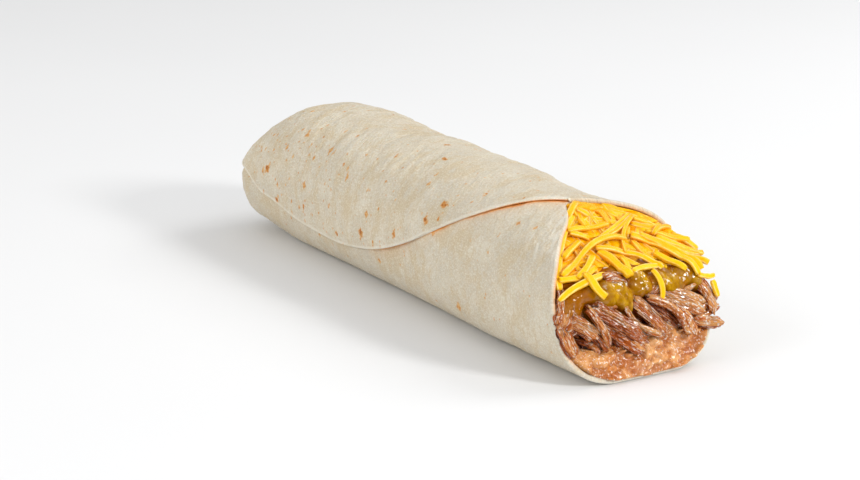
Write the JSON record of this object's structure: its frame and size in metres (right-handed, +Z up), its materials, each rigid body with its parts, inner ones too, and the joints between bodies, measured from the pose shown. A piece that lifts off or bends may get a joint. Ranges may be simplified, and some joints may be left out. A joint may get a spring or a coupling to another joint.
{
  "type": "burrito",
  "caption": "Rolled flour-tortilla wrap with a tucked end and a cut-back open end showing beans, shredded meat, green sauce and shredded cheese.",
  "frame": {"origin": "centre of the bounding box at the underside, which rests on the table", "axes": "+X along the roll towards the open end, +Y away from the side with the flap's edge, +Z up"},
  "size_m": [0.2338, 0.0644, 0.053],
  "materials": {
    "tortilla": "soft floury, matt",
    "shredded_cheese": "waxy, slightly glossy",
    "green_chile_sauce": "wet, glossy",
    "shredded_meat": "moist, fibrous",
    "refried_beans": "moist paste"
  },
  "bodies": {
    "root": {"tortilla": "tortilla", "shredded_cheese": "shredded_cheese", "green_chile_sauce": "green_chile_sauce", "shredded_meat": "shredded_meat", "refried_beans": "refried_beans"}
  },
  "joints": []
}
